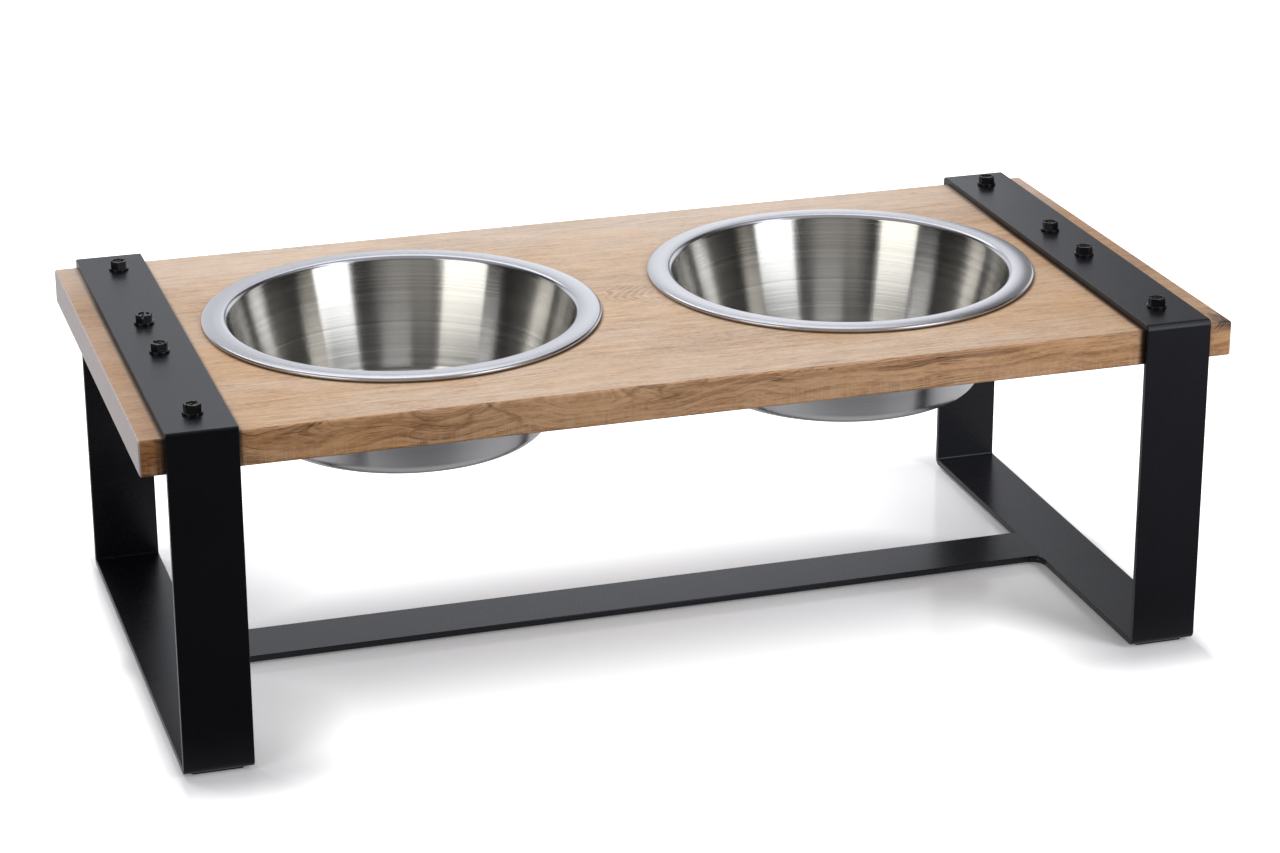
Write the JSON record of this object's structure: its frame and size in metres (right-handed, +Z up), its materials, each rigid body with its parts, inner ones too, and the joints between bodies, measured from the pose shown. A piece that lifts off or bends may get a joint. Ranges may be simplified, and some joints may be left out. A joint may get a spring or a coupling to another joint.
{
  "type": "pet feeding station",
  "caption": "Raised pet feeding station: wooden board with drop-in steel bowls, carried by wrapped loops of black flat bar joined by a floor stretcher.",
  "frame": {"origin": "on the floor, under the middle of the board", "axes": "+X along the board to the right as seen from the front, -Y to the front, +Z up"},
  "size_m": [0.64, 0.317, 0.2106],
  "materials": {
    "wood": "oiled solid hardwood with grain along the board",
    "black_steel": "fine satin black powder coat",
    "stainless": "brushed round the bowl, satin flange",
    "black_screw": "black coated steel",
    "rubber": "matt black rubber"
  },
  "bodies": {
    "stand": {"board": "wood", "stretcher": "black_steel", "left_leg_loop": "black_steel", "right_leg_loop": "black_steel", "left_screw_1": "black_screw", "left_screw_2": "black_screw", "left_screw_3": "black_screw", "left_screw_4": "black_screw", "right_screw_1": "black_screw", "right_screw_2": "black_screw", "right_screw_3": "black_screw", "right_screw_4": "black_screw", "left_front_foot_pad": "rubber", "left_rear_foot_pad": "rubber", "right_front_foot_pad": "rubber", "right_rear_foot_pad": "rubber"},
    "left_bowl": {"left_bowl": "stainless"},
    "right_bowl": {"right_bowl": "stainless"}
  },
  "joints": [
    {"name": "left_bowl_lift", "type": "slide", "parent": "stand", "child": "left_bowl", "axis": [0, 0, 1], "range_m": [0, 0.1]},
    {"name": "right_bowl_lift", "type": "slide", "parent": "stand", "child": "right_bowl", "axis": [0, 0, 1], "range_m": [0, 0.1]}
  ]
}
